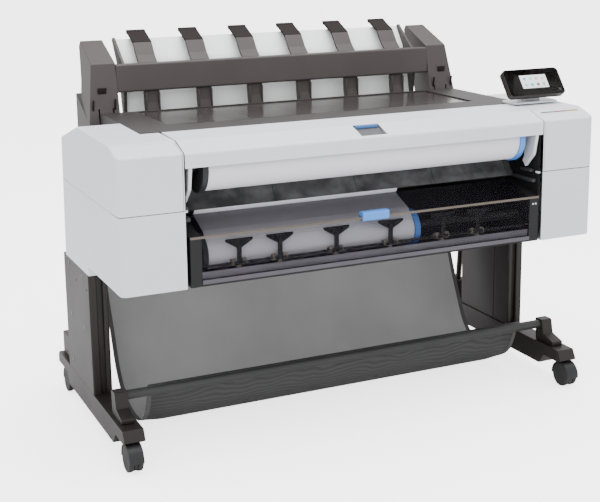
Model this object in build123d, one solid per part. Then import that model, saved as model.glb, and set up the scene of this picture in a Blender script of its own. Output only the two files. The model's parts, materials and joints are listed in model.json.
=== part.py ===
"""Large format plotter on a stand: two roll feeds, rear output stacker, catch bin and control panel.

Millimetres. X to the right, Y to the back, Z up, origin on the floor under the middle of the machine.
The stand is drawn from the floor. The machine body is drawn from the top of the legs and lifted there.
"""
import os

from build123d import *

# Overall sizes
overall_width = 1390.0
half_depth = 383.0
end_cover_width = 169.0
leg_height = 340.0

# Casters and feet
wheel_radius = 35.0
wheel_width = 13.0
caster_trail = 12.0
front_caster_y = -315.0
rear_caster_y = 299.0
axle_radius = 4.0
stem_radius = 5.0
running_clearance = 0.05
fender_gap = 1.3
fender_wall = 2.7
foot_width = 56.0
foot_thickness = 34.0
foot_front_y = -345.0
foot_rear_y = 348.0

# Legs
leg_width = 52.0
leg_front_y = -60.0
leg_rear_y = 210.0
leg_sheet = 2.5

# Catch bin
bin_rod_y = -217.0
bin_rod_radius = 12.5
bin_rear_y = 238.0
bin_rear_radius = 9.0
bin_cloth = 3.0
bin_side_gap = 57.0

# Body covers
cover_wall = 3.0
cover_corner_radius = 16.0
cover_bottom = 25.0
seam_height = 222.0
front_face_top = 365.0
shoulder_height = 388.0
top_height = 392.0
rear_top_height = 342.0
body_rear_y = 177.0
door_rear_y = -324.0
seam_gap = 0.8
dark_cover_overlap = 49.0
dark_cover_front_y = -194.0

# Rolls and drawer
spindle_radius = 12.0
roll_1_radius = 62.0
roll_1_y = -305.0
roll_1_z = 315.0
roll_1_end_gap = 63.0
roll_2_radius = 44.0
roll_2_y = -318.0
roll_2_z = 95.0
roll_2_length = 590.0
hub_1_radius = 66.0
hub_2_radius = 50.0
hub_width = 16.0
drawer_height = 154.0
drawer_wall = 30.0
drawer_gap = 4.0
pinch_rod_y = -372.0
pinch_rod_z = 74.0
pinch_rod_radius = 3.0
pinch_arm_shares = (-0.79, -0.56, -0.23, 0.1, 0.43, 0.66)
pinch_wheel_radius = 5.0
web_gap = 1.5

# Stacker
stacker_arm_inset = 16.0
finger_end_inset = 106.0
guide_inset = 38.0
upper_finger_width = 57.0
lower_finger_width = 47.0

# Control panel
panel_width = 190.0
panel_length = 88.0
panel_thickness = 22.0
panel_tilt = 53.0
panel_y = -226.0
panel_z = 453.5
panel_pin_radius = 3.0
button_radius = 5.0

# Carriage and feed
carriage_width = 140.0
belt_pulley_radius = 8.0
feed_roller_radius = 12.0
feed_roller_y = -176.0
feed_roller_z = 300.0
journal_radius = 5.0

half_width = overall_width / 2
bay_half = half_width - end_cover_width
body_front_y = -half_depth
caster_x = half_width - 1 - foot_width / 2 + 3
foot_underside = 2 * wheel_radius + 6
foot_top = foot_underside + foot_thickness
leg_outer_x = half_width - 1
leg_inner_x = leg_outer_x - leg_width
body_z = foot_top + leg_height
bin_rod_z = foot_top + 51
end_wall_inner = bay_half - 6
end_wall_outer = bay_half - 1
drawer_half = end_wall_inner - drawer_gap
bin_half_width = leg_inner_x - bin_side_gap
roll_1_half_length = end_wall_inner - roll_1_end_gap
stacker_inner_x = bay_half - stacker_arm_inset
finger_pitch = (stacker_inner_x - finger_end_inset) / 2.5
guide_half_width = stacker_inner_x - guide_inset


def box(x0, x1, y0, y1, z0, z1):
    """Block between two opposite corners."""
    block = Box(x1 - x0, y1 - y0, z1 - z0)
    return Pos((x0 + x1) / 2, (y0 + y1) / 2, (z0 + z1) / 2) * block


def prism(outline, x0, x1):
    """Closed outline of (y, z) points, extruded along X."""
    face = make_face(Polyline(*outline, close=True))
    return Pos(x0, 0, 0) * extrude(Plane.YZ * face, x1 - x0)


def round_prism(outline, radius, x0, x1):
    """As prism, with every corner of the outline rounded."""
    face = make_face(FilletPolyline(*outline, radius=radius, close=True))
    return Pos(x0, 0, 0) * extrude(Plane.YZ * face, x1 - x0)


def bent_sheet(path, radius, thickness, x0, x1):
    """Sheet of one thickness that follows a rounded (y, z) path, extruded along X."""
    face = trace(FilletPolyline(*path, radius=radius), thickness)
    return Pos(x0, 0, 0) * extrude(Plane.YZ * face, x1 - x0)


def rod_x(x0, x1, y, z, radius):
    """Round bar along X."""
    return Pos((x0 + x1) / 2, y, z) * Rot(Y=90) * Cylinder(radius, x1 - x0)


def post(x, y, z0, z1, radius):
    """Round bar along Z."""
    return Pos(x, y, (z0 + z1) / 2) * Cylinder(radius, z1 - z0)


def other_side(shape):
    """Mirror image across the middle of the machine."""
    return mirror(shape, about=Plane.YZ)


def both_sides(shape):
    """The piece and its mirror image, as two solids."""
    return Compound(children=[*shape.solids(), *other_side(shape).solids()])


def lifted(shape):
    """Place a body piece on top of the legs."""
    return Pos(0, 0, body_z) * shape


def group(shapes):
    """Several separate solids in one node."""
    return Compound(children=[solid for shape in shapes for solid in shape.solids()])


# ---------------------------------------------------------------- stand

def leg():
    """Bent steel column: outer side panel, a recessed channel down its front, open on the inside."""
    inner = leg_inner_x + leg_sheet
    outer_flange = leg_outer_x - 21
    channel = leg_inner_x + 13
    path = FilletPolyline(
        (inner, leg_front_y + 1.25), (channel, leg_front_y + 1.25), (channel, leg_front_y + 13),
        (outer_flange, leg_front_y + 13), (outer_flange, leg_front_y + 1.25),
        (leg_outer_x - 1.25, leg_front_y + 1.25), (leg_outer_x - 1.25, leg_rear_y - 1.25),
        (inner, leg_rear_y - 1.25), radius=3)
    shell = Pos(0, 0, foot_top) * extrude(trace(path, leg_sheet), leg_height)
    for y in (-38.0, 70.0):
        hole = Pos(leg_outer_x, y, body_z - 47) * Rot(Y=90) * Cylinder(3, 3 * leg_sheet)
        shell = shell - hole
    return shell


def leg_inner_panels():
    """Two flat panels that close the inside of a leg, with a seam between them."""
    seam_y = 19.0
    x0 = leg_inner_x
    x1 = leg_inner_x + leg_sheet - 0.4
    front = box(x0, x1, leg_front_y + 1, seam_y - 1, foot_top + 1, body_z - 1)
    rear = box(x0, x1, seam_y + 1, leg_rear_y - 1, foot_top + 1, body_z - 1)
    return group([front, rear])


def foot():
    """Long foot along Y, deeper between its two casters, with a round socket for each stem."""
    low = foot_underside - 31
    front_step = front_caster_y + caster_trail + wheel_radius + 8
    rear_step = rear_caster_y - caster_trail - wheel_radius - 8
    outline = [
        (foot_front_y, foot_underside + 6), (foot_front_y + 16, foot_top), (foot_rear_y - 10, foot_top),
        (foot_rear_y, foot_top - 12), (foot_rear_y, foot_underside), (rear_step, foot_underside),
        (rear_step - 22, low), (front_step + 22, low), (front_step, foot_underside),
        (foot_front_y + 12, foot_underside)]
    x0 = leg_outer_x - foot_width
    solid = round_prism(outline, 4, x0, leg_outer_x)
    for y in (front_caster_y, rear_caster_y):
        socket_top = foot_underside + 24
        solid = solid - post(caster_x, y, foot_underside - 1, socket_top, stem_radius + running_clearance)
    return solid


def caster_hood(x, y):
    """Swivelling caster body: a web between the wheels, a fender over them and the stem."""
    wheel_y = y - caster_trail
    half = wheel_width + 6.5
    web = rod_x(x - 4.5, x + 4.5, wheel_y, wheel_radius, wheel_radius - 2)
    inner = wheel_radius + fender_gap
    outer = inner + fender_wall
    ring = rod_x(x - half, x + half, wheel_y, wheel_radius, outer)
    ring = ring - rod_x(x - half - 1, x - 4.5, wheel_y, wheel_radius, inner)
    ring = ring - rod_x(x + 4.5, x + half + 1, wheel_y, wheel_radius, inner)
    lower = box(x - 60, x + 60, wheel_y - 90, wheel_y + 90, -60, wheel_radius - 4)
    ring = ring - lower
    body = ring + web
    body = body - rod_x(x - 20, x + 20, wheel_y, wheel_radius, axle_radius + running_clearance)
    boss = post(x, y, wheel_radius + inner + 0.2, foot_underside - 0.4, 11)
    return body + boss + post(x, y, foot_underside - 1, foot_underside + 22, stem_radius)


def caster_wheels(x, y):
    """Two wheels pressed on one axle."""
    wheel_y = y - caster_trail
    axle = rod_x(x - wheel_width - 5, x + wheel_width + 5, wheel_y, wheel_radius, axle_radius)
    pair = axle
    for side in (-1, 1):
        centre = x + side * (6 + wheel_width / 2)
        half = wheel_width / 2
        wheel = rod_x(centre - half, centre + half, wheel_y, wheel_radius, wheel_radius)
        wheel = fillet(wheel.edges().filter_by(GeomType.CIRCLE), 3)
        pair = pair + wheel
    return pair


def stand_crossbar():
    """Box section that ties the two legs together below the body."""
    return box(-leg_inner_x, leg_inner_x, 60, 120, body_z - 65, body_z - 5)


def bin_rod():
    """Round bar along the front of the catch bin."""
    end = leg_inner_x + 26
    return rod_x(-end, end, bin_rod_y, bin_rod_z, bin_rod_radius)


def bin_brackets():
    """Feet of the front bar: each grips one end of it and stands on a foot."""
    outline = [
        (bin_rod_y - 73, foot_top), (bin_rod_y + 12, foot_top), (bin_rod_y + 17, bin_rod_z + 16),
        (bin_rod_y - 17, bin_rod_z + 16), (bin_rod_y - 26, foot_top + 26), (bin_rod_y - 73, foot_top + 13)]
    bracket = round_prism(outline, 4, leg_inner_x + 6, leg_inner_x + 42)
    bracket = bracket - rod_x(leg_inner_x, leg_inner_x + 26, bin_rod_y, bin_rod_z, bin_rod_radius)
    return both_sides(bracket)


def bin_rear_frame():
    """Bent tube that rises from the rear of both feet and carries the rear edge of the cloth."""
    x = leg_inner_x + 18
    top = body_z - 55
    path = FilletPolyline(
        (-x, 262, foot_top + 30), (-x, bin_rear_y, top), (x, bin_rear_y, top), (x, 262, foot_top + 30),
        radius=40)
    return sweep(Plane(path @ 0, z_dir=path % 0) * Circle(bin_rear_radius), path=path)


def bin_rear_blocks():
    """Clamp blocks that hold the rear tube on the feet."""
    x = leg_inner_x + 18
    block = box(x - 18, x + 22, 240, 326, foot_top, foot_top + 68)
    block = fillet(block.edges().filter_by(Axis.X), 6)
    path = Line((x, 262, foot_top + 30), (x, bin_rear_y, body_z - 55))
    hole = sweep(Plane(path @ 0, z_dir=path % 0) * Circle(bin_rear_radius), path=path)
    return both_sides(block - hole)


def bin_fabric():
    """Cloth trough between the front bar and the rear tube."""
    path = [
        (bin_rear_y - 16, body_z - 60), (bin_rear_y - 46, body_z - 150), (145, 190), (100, 90), (40, 34),
        (-40, 17), (-120, 32), (-180, 90), (bin_rod_y + 16, bin_rod_z + 4)]
    return bent_sheet(path, 30, bin_cloth, -bin_half_width, bin_half_width)


# ---------------------------------------------------------------- body covers

def end_shell():
    """Whole right end cover before it is divided: outer walls, open towards the bay."""
    outline = [
        (body_front_y, cover_bottom), (body_front_y, front_face_top), (-316, shoulder_height),
        (-16, top_height), (156, rear_top_height), (body_rear_y, 0), (-72, 0), (-72, cover_bottom)]
    face = make_face(Polyline(*outline, close=True))
    solid = Pos(bay_half, 0, 0) * extrude(Plane.YZ * face, end_cover_width)
    corner = (half_width, body_front_y, seam_height)
    front_edge = solid.edges().filter_by(Axis.Z).sort_by_distance(corner)[0]
    solid = fillet(front_edge, cover_corner_radius)
    outer_edges = solid.edges().filter_by(lambda e: e.bounding_box().min.X > half_width - 1)
    solid = chamfer(outer_edges.filter_by(lambda e: e.bounding_box().min.Z > front_face_top - 30), 2.5)
    inner_face = offset(face, amount=-cover_wall)
    hollow = Pos(bay_half - 1, 0, 0) * extrude(Plane.YZ * inner_face, end_cover_width + 1 - cover_wall)
    hollow_edge = hollow.edges().filter_by(Axis.Z).sort_by_distance(corner)[0]
    hollow = fillet(hollow_edge, cover_corner_radius - cover_wall)
    return solid - hollow


def door_zone(margin):
    """Space of the ink door, grown by a margin at its rear, bottom and inner edges."""
    return box(bay_half + 4 - margin, half_width + 1, body_front_y - 1, door_rear_y + margin,
               seam_height + seam_gap + 0.8 - margin, top_height + 10)


def lower_cover():
    """Lower half of the right end cover."""
    return end_shell() & box(0, half_width + 1, -half_depth - 1, half_depth, -1, seam_height)


def upper_cover():
    """Upper half of the right end cover, open at the ink door and stepped for the dark top cover."""
    shell = end_shell() & box(0, half_width + 1, -half_depth - 1, half_depth, seam_height + seam_gap, 500)
    shell = shell - door_zone(seam_gap)
    step = box(0, bay_half + dark_cover_overlap + 0.5, dark_cover_front_y - 0.5, half_depth, 299.5, 500)
    return shell - step


def ink_door():
    """Front of the upper cover, which tips forward about its lower edge."""
    return end_shell() & door_zone(0)


def ink_cartridges():
    """Three cartridges side by side behind each ink door."""
    cartridges = []
    for slot in range(3):
        x0 = bay_half + 14 + slot * 46
        cartridge = box(x0, x0 + 40, -366, -150, seam_height + 30, seam_height + 124)
        cartridges.append(fillet(cartridge.edges().filter_by(Axis.Y), 4))
    return both_sides(group(cartridges))


def rear_cover():
    """Flat rear panel between the end covers."""
    return box(-bay_half + 0.5, bay_half - 0.5, 152, 155, 5, shoulder_height - 10)


def top_cover():
    """Dark lid frame over the print zone, with an opening and a ledge for the window."""
    half = bay_half + dark_cover_overlap
    rear = body_rear_y + 4
    plate = box(-half, half, dark_cover_front_y, rear, top_height - 8, top_height)
    plate = fillet(plate.edges().filter_by(Axis.X).sort_by(Axis.Y)[-2:].sort_by(Axis.Z)[-1:], 3)
    front = dark_cover_front_y
    tongue = box(-bay_half + 2, bay_half - 2, front - 11, front, top_height - 8, top_height)
    plate = plate + tongue
    opening = window_half()
    plate = plate - box(-opening, opening, -105, body_rear_y - 3, top_height - 9, top_height + 1)
    ledge = box(-window_half() - 8, window_half() + 8, -113, body_rear_y, top_height - 11, top_height - 8)
    inner = opening - 10
    ledge = ledge - box(-inner, inner, -95, body_rear_y - 12, top_height - 12, top_height)
    sides = box(half - 3, half, -16, rear, 300, top_height - 8)
    back = box(-half, half, rear - 3, rear, 300, top_height - 8)
    return plate + ledge + sides + other_side(sides) + back


def window_half():
    """Half width of the opening for the window."""
    return bay_half - 56


def top_window():
    """Smoked window over the print zone, hinged along its rear edge."""
    half = window_half() - 0.8
    sheet = box(-half, half, -104.2, body_rear_y - 3.5, top_height - 7.6, top_height - 3.6)
    rib = box(-40, 40, -98, -88, top_height - 3.6, top_height - 1)
    return sheet + rib


def roll_cover():
    """White front cover over roll 1, with a pocket in its shoulder for the fingers."""
    half = bay_half - 3
    mid = cover_wall / 2
    path = [
        (-208, top_height - mid), (-316, shoulder_height - mid), (body_front_y + mid, front_face_top - mid),
        (body_front_y + mid, front_face_top - 37)]
    sheet = bent_sheet(path, 7, cover_wall, -half, half)
    pocket = box(-38, 38, -374, -318, front_face_top - 30, top_height)
    return sheet - pocket


def roll_cover_pocket():
    """Tray let into the shoulder of the roll cover."""
    drop = 9.0
    lip = [
        (-319, shoulder_height - 0.5), (-319, shoulder_height - drop), (-373, front_face_top - drop - 1),
        (-373, front_face_top + 1), (-371, front_face_top + 1.5), (-371, front_face_top - drop + 2.5),
        (-321.5, shoulder_height - drop + 2.5), (-321.5, shoulder_height - 1)]
    tray = prism(lip, -37, 37)
    return tray


def roll_cover_ribs():
    """Arms under both ends of the roll cover."""
    outline = [
        (-379, front_face_top - 36), (-379, front_face_top - 5), (-318, shoulder_height - 5),
        (-290, shoulder_height - 5), (-322, 350), (-322, 262), (-314, 248), (-329, 231), (-366, 270)]
    rib = prism(outline, bay_half - 23, bay_half - 13)
    return both_sides(rib)


# ---------------------------------------------------------------- roll feeds

def end_wall():
    """Dark inner wall of the bay, with bores for the shafts that cross it."""
    outline = [
        (-370, cover_bottom + 4), (-370, seam_height), (-372, front_face_top - 12),
        (-316, shoulder_height - 8),
        (-200, shoulder_height - 4), (-198, shoulder_height - 12), (148, shoulder_height - 12), (148, 42),
        (-230, 42), (-230, cover_bottom + 4)]
    wall = prism(outline, end_wall_inner, end_wall_outer)
    bearing = spindle_radius + running_clearance
    wall = wall - rod_x(end_wall_inner - 1, end_wall_outer + 1, roll_1_y, roll_1_z, bearing)
    wall = wall - rod_x(end_wall_inner - 1, end_wall_outer + 1, feed_roller_y, feed_roller_z,
                        journal_radius + running_clearance)
    return wall


def roll_1_paper():
    """Full-width roll on its core."""
    paper = rod_x(-roll_1_half_length, roll_1_half_length, roll_1_y, roll_1_z, roll_1_radius)
    return paper - rod_x(-600, 600, roll_1_y, roll_1_z, spindle_radius)


def roll_1_spindle():
    """Spindle of roll 1, which turns in the end walls."""
    return rod_x(-end_wall_outer, end_wall_outer, roll_1_y, roll_1_z, spindle_radius)


def hub(x0, y, z, radius):
    """Flanged hub that grips the end of a roll."""
    disc = rod_x(x0, x0 + hub_width, y, z, radius)
    disc = fillet(disc.edges().filter_by(GeomType.CIRCLE), 3)
    return disc - rod_x(x0 - 1, x0 + hub_width + 1, y, z, spindle_radius)


def roll_1_hubs():
    """Hubs at both ends of roll 1."""
    right = hub(roll_1_half_length + 0.5, roll_1_y, roll_1_z, hub_1_radius)
    return both_sides(right)


def drawer_inner():
    """Half width of the clear space in the drawer."""
    return drawer_half - drawer_wall


def roll_2_start():
    """Left end of the paper of roll 2."""
    return -drawer_inner() + hub_width + 8


def roll_2_paper():
    """Narrower roll in the drawer."""
    start = roll_2_start()
    paper = rod_x(start, start + roll_2_length, roll_2_y, roll_2_z, roll_2_radius)
    return paper - rod_x(-600, 600, roll_2_y, roll_2_z, spindle_radius)


def roll_2_spindle():
    """Spindle of roll 2, which turns in the drawer's side walls."""
    end = drawer_inner() + 12
    return rod_x(-end, end, roll_2_y, roll_2_z, spindle_radius)


def roll_2_hubs():
    """Hubs at both ends of roll 2."""
    left = hub(roll_2_start() - hub_width - 0.5, roll_2_y, roll_2_z, hub_2_radius)
    right = hub(roll_2_start() + roll_2_length + 0.5, roll_2_y, roll_2_z, hub_2_radius)
    return group([left, right])


def paper_deflector():
    """Dark guide panel behind roll 1."""
    path = [(-204, 332), (-213, 245), (-230, 212), (-250, 191)]
    return bent_sheet(path, 30, 4, -end_wall_inner + 0.5, end_wall_inner - 0.5)


def paper_web():
    """Paper that leaves roll 2 and slopes up and back under the smoked pane."""
    reach = (roll_2_radius + web_gap) * 0.707
    path = [
        (roll_2_y - reach, roll_2_z + reach), (roll_2_y - 4, roll_2_z + 2 * reach - 6),
        (-272, 173), (-252, 183)]
    return bent_sheet(path, 6, 0.8, roll_2_start(), roll_2_start() + roll_2_length)


def drawer_frame():
    """Drawer of roll 2: floor, two side walls and a low front."""
    outline = [
        (body_front_y + 3, cover_bottom + 4), (body_front_y + 3, drawer_height - 2),
        (-258, 180), (-236, 180),
        (-236, cover_bottom + 4)]
    wall = prism(outline, drawer_inner(), drawer_half)
    reach = drawer_inner() + 12.5
    wall = wall - rod_x(0, reach, roll_2_y, roll_2_z, spindle_radius + running_clearance)
    wall = wall - rod_x(0, reach, pinch_rod_y, pinch_rod_z, pinch_rod_radius + running_clearance)
    floor = box(-drawer_half, drawer_half, body_front_y + 3, -236, cover_bottom + 1, cover_bottom + 4)
    front = box(-drawer_inner(), drawer_inner(), body_front_y + 1, body_front_y + 5, cover_bottom + 4, 42)
    return floor + wall + other_side(wall) + front


def drawer_grip_space():
    """Space of the blue grip on the front edge of the drawer."""
    return box(-40, 40, body_front_y, body_front_y + 24, drawer_height - 12, drawer_height + 14)


def drawer_edge():
    """Light strip along the front edge of the drawer."""
    top = drawer_height + 1
    strip = box(-drawer_half, drawer_half, body_front_y, body_front_y + 2.5, top - 6, top)
    return strip - drawer_grip_space()


def split_pieces(solid, height):
    """The parts of a solid below and above a level, as separate solids that meet there."""
    reach = 2 * half_width
    below = solid & box(-reach, reach, -reach, reach, -reach, height)
    above = solid & box(-reach, reach, -reach, reach, height, reach)
    return group([below, above])


def drawer_window():
    """Smoked pane that covers roll 2: upright in front, then sloping back."""
    y = body_front_y + 4.2
    path = [(y, 42.5), (y, drawer_height - 3), (-262, 182)]
    pane = bent_sheet(path, 6, 2.6, -drawer_inner() + 0.4, drawer_inner() - 0.4)
    return split_pieces(pane - drawer_grip_space(), drawer_height - 12)


def drawer_grip():
    """Blue hand grip of the drawer."""
    grip = box(-39.5, 39.5, body_front_y, body_front_y + 22, drawer_height - 11.5, drawer_height + 13)
    grip = fillet(grip.edges().filter_by(Axis.X), 5)
    return grip - box(-30, 30, body_front_y + 10, body_front_y + 30, drawer_height - 20, drawer_height + 5)


def pinch_arms():
    """Rod with six fan-topped arms that press on roll 2, and the small wheels at their feet."""
    end = drawer_inner() + 12
    rod = rod_x(-end, end, pinch_rod_y, pinch_rod_z, pinch_rod_radius)
    solid = rod
    for share in pinch_arm_shares:
        x = share * drawer_inner()
        fan = [
            (x - 5, pinch_rod_z), (x - 5, pinch_rod_z + 38), (x - 36, pinch_rod_z + 56),
            (x - 36, pinch_rod_z + 63), (x + 36, pinch_rod_z + 63), (x + 36, pinch_rod_z + 56),
            (x + 5, pinch_rod_z + 38), (x + 5, pinch_rod_z)]
        blade = extrude(Plane.XZ * make_face(Polyline(*fan, close=True)), 1.5, both=True)
        solid = solid + Pos(0, pinch_rod_y, 0) * blade
        for side in (-1, 1):
            centre = x + side * 11
            solid = solid + rod_x(centre - 5, centre + 5, pinch_rod_y, pinch_rod_z, pinch_wheel_radius)
    return solid


# ---------------------------------------------------------------- stacker

def stacker_arm():
    """Right arm of the stacker: a hollow casting that stands on the rear of the body."""
    upper = [(199, 348), (238, 526), (370, 583), (381, 566), (330, 470), (300, 348)]
    arm = round_prism(upper, 6, stacker_inner_x, bay_half + 78)
    flare = Plane.XZ * make_face(Polyline(
        (bay_half + 78, 340), (bay_half + 55, 526), (bay_half + 47, 600), (bay_half + 94, 600),
        (bay_half + 94, 340), close=True))
    arm = arm - extrude(flare, 500, both=True)
    root_y = body_rear_y + 4.5
    bracket = [(root_y, 230), (root_y, 340), (199, 352), (350, 433), (350, 325), (300, 250)]
    arm = arm + prism(bracket, bay_half + 58, bay_half + 74)
    for x in (bay_half + 2, bay_half + 44):
        slot = box(x - 2, x + 2, 190, 222, 352, 400)
        arm = arm - slot
    return arm


def stacker_crossbar():
    """Bar between the stacker's arms, with a curved rib near each end for the guide."""
    section = [(225, 441), (232, 521), (262, 521), (254, 441)]
    bar = round_prism(section, 6, -stacker_inner_x, stacker_inner_x)
    rib = [
        (254, 445), (262, 515), (318, 557), (360, 588), (366, 580), (325, 518), (295, 430), (276, 339),
        (266, 339)]
    end = prism(rib, guide_half_width + 1, guide_half_width + 10)
    return bar + end + other_side(end)


def finger_places():
    """Centres of the six fingers along X."""
    return [finger_pitch * (index - 2.5) for index in range(6)]


def upper_fingers():
    """Six fingers that reach back over the guide, each with a thick lip at its tip."""
    fingers = []
    for x in finger_places():
        half = upper_finger_width / 2
        blade = bent_sheet([(266, 517), (290, 537), (318, 574), (384, 604)], 10, 7, x - half, x + half)
        lip = rod_x(x - half, x + half, 376, 600, 5.5)
        finger = (blade + lip) & box(-900, 900, 0, half_depth, 0, 900)
        fingers.append(finger)
    return group(fingers)


def lower_fingers():
    """Six fingers that hang below the crossbar, each with a foot block."""
    fingers = []
    for x in finger_places():
        half = lower_finger_width / 2
        blade = bent_sheet([(243, 440), (240, 405), (233, 372)], 20, 11, x - half, x + half)
        block = box(x - half - 2, x + half + 2, 221, 237, 345, 374)
        fingers.append(blade + block)
    return group(fingers)


def stacker_guide():
    """White curved panel that turns the paper into the stacker."""
    path = [(364, 581), (321, 521), (289, 430), (270, 339)]
    return bent_sheet(path, 60, 2.4, -guide_half_width, guide_half_width)


# ---------------------------------------------------------------- control panel

def panel_place():
    """Frame of the panel: centre of its front face, local Z out of the face, local Y up the face."""
    return Pos(half_width - panel_width / 2, panel_y, panel_z) * Rot(X=panel_tilt)


def panel_axis_drop():
    """Distance from the panel's front face back to its hinge axis."""
    return panel_thickness + 8


def panel_body():
    """Housing of the control panel, with hinge lugs and pins behind it."""
    plate = Box(panel_width, panel_length, panel_thickness, align=(Align.CENTER, Align.CENTER, Align.MAX))
    plate = fillet(plate.edges().filter_by(Axis.Z), 12)
    plate = fillet(plate.faces().sort_by(Axis.Z)[0].edges(), 5)
    recess = Box(panel_width - 4, panel_length - 4, 2.2, align=(Align.CENTER, Align.CENTER, Align.MAX))
    plate = plate - fillet(recess.edges().filter_by(Axis.Z), 10)
    plate = plate - button_socket(-9)
    drop = panel_axis_drop()
    for side in (-1, 1):
        lug = Pos(side * 38, 0, -drop + 5) * Box(8, 14, 18)
        pin = Pos(side * 31, 0, -drop) * Rot(Y=90) * Cylinder(panel_pin_radius, 14)
        plate = plate + lug + pin
    return panel_place() * plate


def button_socket(depth):
    """Round hole for the button, down to a depth below the front face."""
    hole = Cylinder(button_radius + 0.4, -depth + 1, align=(Align.CENTER, Align.CENTER, Align.MIN))
    return Pos(panel_width / 2 - 16, -panel_length / 2 + 14, depth) * hole


def panel_glass():
    """Glossy front of the control panel."""
    glass = Box(panel_width - 4.6, panel_length - 4.6, 2, align=(Align.CENTER, Align.CENTER, Align.MAX))
    glass = fillet(glass.edges().filter_by(Axis.Z), 9.7)
    return panel_place() * (glass - button_socket(-5))


def power_button():
    """Round push button in the corner of the panel."""
    button = Cylinder(button_radius, 7, align=(Align.CENTER, Align.CENTER, Align.MIN))
    button = fillet(button.edges().sort_by(Axis.Z)[-1], 0.8)
    return panel_place() * Pos(panel_width / 2 - 16, -panel_length / 2 + 14, -6) * button


def panel_pedestal():
    """White foot on the right end cover, with the post that carries the panel's hinge."""
    centre = half_width - panel_width / 2
    axis = panel_place() * Pos(0, 0, -panel_axis_drop())
    y = axis.position.Y
    z = axis.position.Z
    foot_plate = box(centre - 76, centre + 76, -240, -172, top_height + 0.3, top_height + 5.5)
    foot_plate = fillet(foot_plate.edges().filter_by(Axis.Z), 10)
    post_block = box(centre - 33, centre + 33, y - 7, y + 12, top_height + 1, z)
    column = foot_plate + post_block + rod_x(centre - 33, centre + 33, y, z, 7)
    return column - rod_x(centre - 40, centre + 40, y, z, panel_pin_radius + running_clearance)


# ---------------------------------------------------------------- inside the body

def chassis_base():
    """Steel pan that carries the body on the two legs."""
    return box(-half_width + 12, half_width - 12, -50, 146, cover_wall + 0.3, 40)


def platen():
    """Flat bed under the carriage."""
    return box(-end_wall_inner + 50, end_wall_inner - 50, -150, -20, 262, 270)


def carriage_rail():
    """Beam that the carriage runs along, with two pins for the belt pulleys."""
    beam = box(-end_wall_inner, end_wall_inner, 40, 72, 318, 348)
    for x in (-belt_reach(), belt_reach()):
        beam = beam + post(x, 56, 347, 364, 3)
    return beam


def belt_reach():
    """Distance of the belt pulleys from the middle."""
    return end_wall_inner - 20


def carriage():
    """Print carriage in front of the rail."""
    body = box(-carriage_width / 2, carriage_width / 2, -60, 38, 290, 366)
    return fillet(body.edges().filter_by(Axis.Y), 6)


def belt_pulley(x):
    """Toothed belt pulley on its pin."""
    disc = post(x, 56, 349, 361, belt_pulley_radius)
    return disc - post(x, 56, 340, 370, 3 + running_clearance)


def carriage_belt():
    """Belt loop round the two pulleys."""
    centres = 2 * belt_reach()
    inner = 2 * belt_pulley_radius + 0.8
    slot = Pos(0, 56, 352) * extrude(SlotCenterToCenter(centres, inner + 2), 6)
    return slot - Pos(0, 56, 350) * extrude(SlotCenterToCenter(centres, inner), 10)


def feed_roller():
    """Long roller that draws the paper up, with a journal at each end."""
    half = end_wall_inner - 16
    drum = rod_x(-half, half, feed_roller_y, feed_roller_z, feed_roller_radius)
    return drum + rod_x(-end_wall_outer, end_wall_outer, feed_roller_y, feed_roller_z, journal_radius)


def feed_gear():
    """Gear on the right journal of the feed roller."""
    x0 = end_wall_inner - 12
    disc = rod_x(x0, x0 + 8, feed_roller_y, feed_roller_z, 20)
    return disc - rod_x(x0 - 1, x0 + 9, feed_roller_y, feed_roller_z, journal_radius)


def service_station():
    """Capping and wiping station under the parked carriage."""
    return box(end_wall_inner - 140, end_wall_inner - 15, -58, 36, 272, 286)


def electronics_box():
    """Power supply and controller in the left end."""
    return box(-half_width + 16, -bay_half - 20, -40, 120, 60, 200)


def inlet_place():
    """Low corner of the power inlet at the rear left."""
    return -half_width + 60, 44.0


def inlet_block(margin):
    """Outside of the power inlet, grown by a margin."""
    x, z = inlet_place()
    return box(x - margin, x + 48 + margin, 138, body_rear_y + 0.5, z - margin, z + 30 + margin)


def power_inlet():
    """Mains inlet: a socket with three pins, let into the rear of the left cover."""
    x, z = inlet_place()
    block = inlet_block(0) - box(x + 9, x + 39, 152, 200, z + 5, z + 25)
    for dx in (-7, 0, 7):
        block = block + box(x + 24 + dx - 1, x + 24 + dx + 1, 151, 168, z + 13, z + 17)
    return block


# ---------------------------------------------------------------- nodes

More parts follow.
